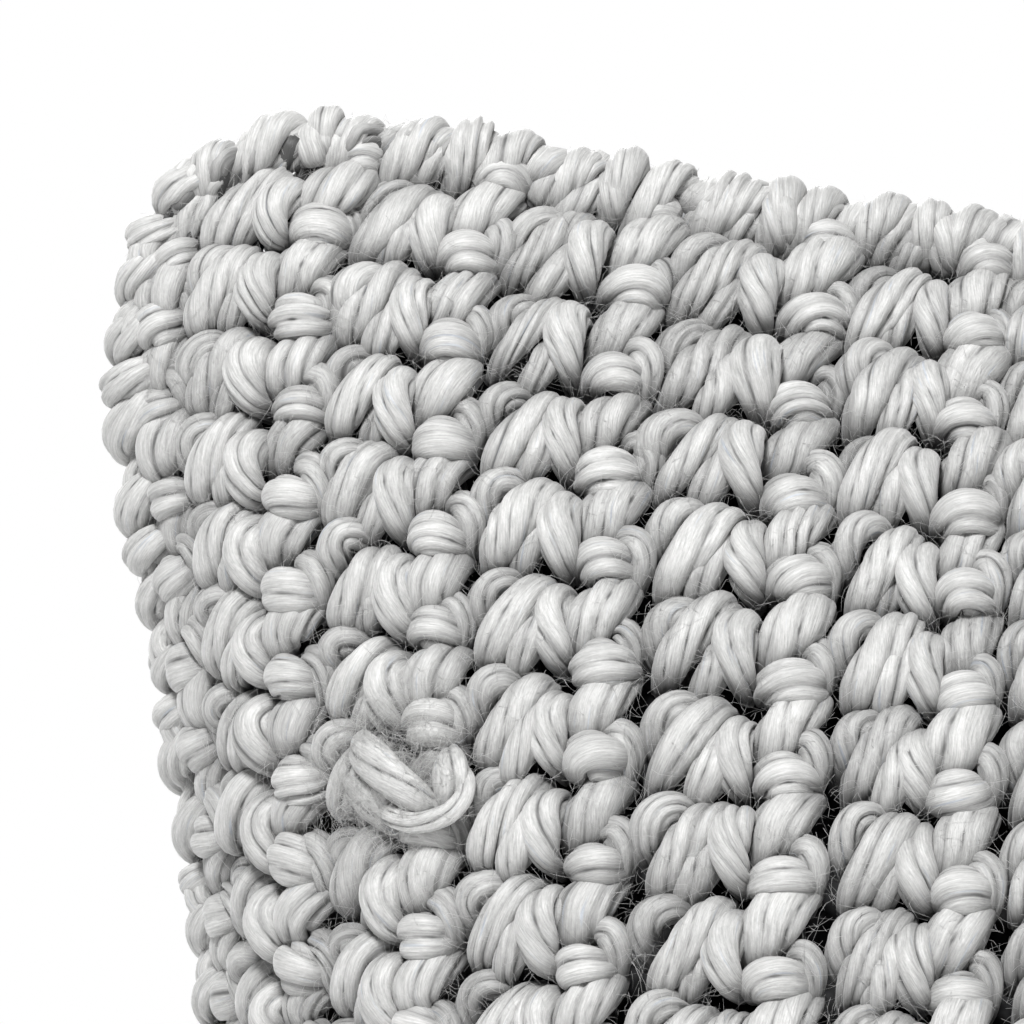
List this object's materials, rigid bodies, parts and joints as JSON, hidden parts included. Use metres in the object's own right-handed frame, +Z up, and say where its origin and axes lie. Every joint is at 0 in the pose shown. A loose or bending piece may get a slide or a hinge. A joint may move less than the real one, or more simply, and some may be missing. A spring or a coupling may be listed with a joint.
{
  "type": "throw pillow",
  "caption": "Square throw pillow with a chunky crocheted cover, lined, stuffed with an insert and closed by a concealed zip low on its back.",
  "frame": {"origin": "middle of the foot on which the pillow stands, on the supporting surface", "axes": "+Z up, +X to the right as the front is seen, -Y towards the viewer of the front; thickness along Y"},
  "size_m": [0.3874, 0.172, 0.3857],
  "materials": {
    "yarn": "soft multi-ply roving, pale neutral grey, matt and slightly fuzzy",
    "lining": "thin dark cotton, plain weave",
    "ticking": "off-white cotton, plain weave",
    "fill": "polyester fibrefill",
    "tape": "woven polyester zip tape, grey",
    "teeth": "moulded plastic zip teeth, grey",
    "zip_metal": "satin grey cast zip hardware, no mark"
  },
  "bodies": {
    "cover": {"front_panel": "yarn", "back_upper_panel": "yarn", "back_lower_panel": "yarn", "seam_yarn_top": "yarn", "seam_yarn_bottom": "yarn", "seam_yarn_left": "yarn", "seam_yarn_right": "yarn", "seam_yarn_zip_left": "yarn", "seam_yarn_zip_right": "yarn", "yarn_join": "yarn", "lining_front": "lining", "lining_back_upper": "lining", "lining_back_lower": "lining", "ticking_front": "ticking", "ticking_back": "ticking", "insert_seam": "ticking", "fill_core": "fill", "zip_tape_upper": "tape", "zip_tape_lower": "tape", "zip_chain_upper": "teeth", "zip_chain_lower": "teeth", "zip_stop_left": "zip_metal", "zip_stop_right": "zip_metal"},
    "zip_slider": {"zip_slider": "zip_metal"},
    "zip_pull": {"zip_pull": "zip_metal"}
  },
  "joints": [
    {"name": "zip_run", "type": "hinge", "parent": "cover", "child": "zip_slider", "pos_m": [0, -0.5616, 0.075], "axis": [0, 0, 1], "range_deg": [0, 24.03]},
    {"name": "pull_swing", "type": "hinge", "parent": "zip_slider", "child": "zip_pull", "pos_m": [0.13258, 0.06121, 0.075], "axis": [0, 0, -1], "range_deg": [0, 165]}
  ]
}
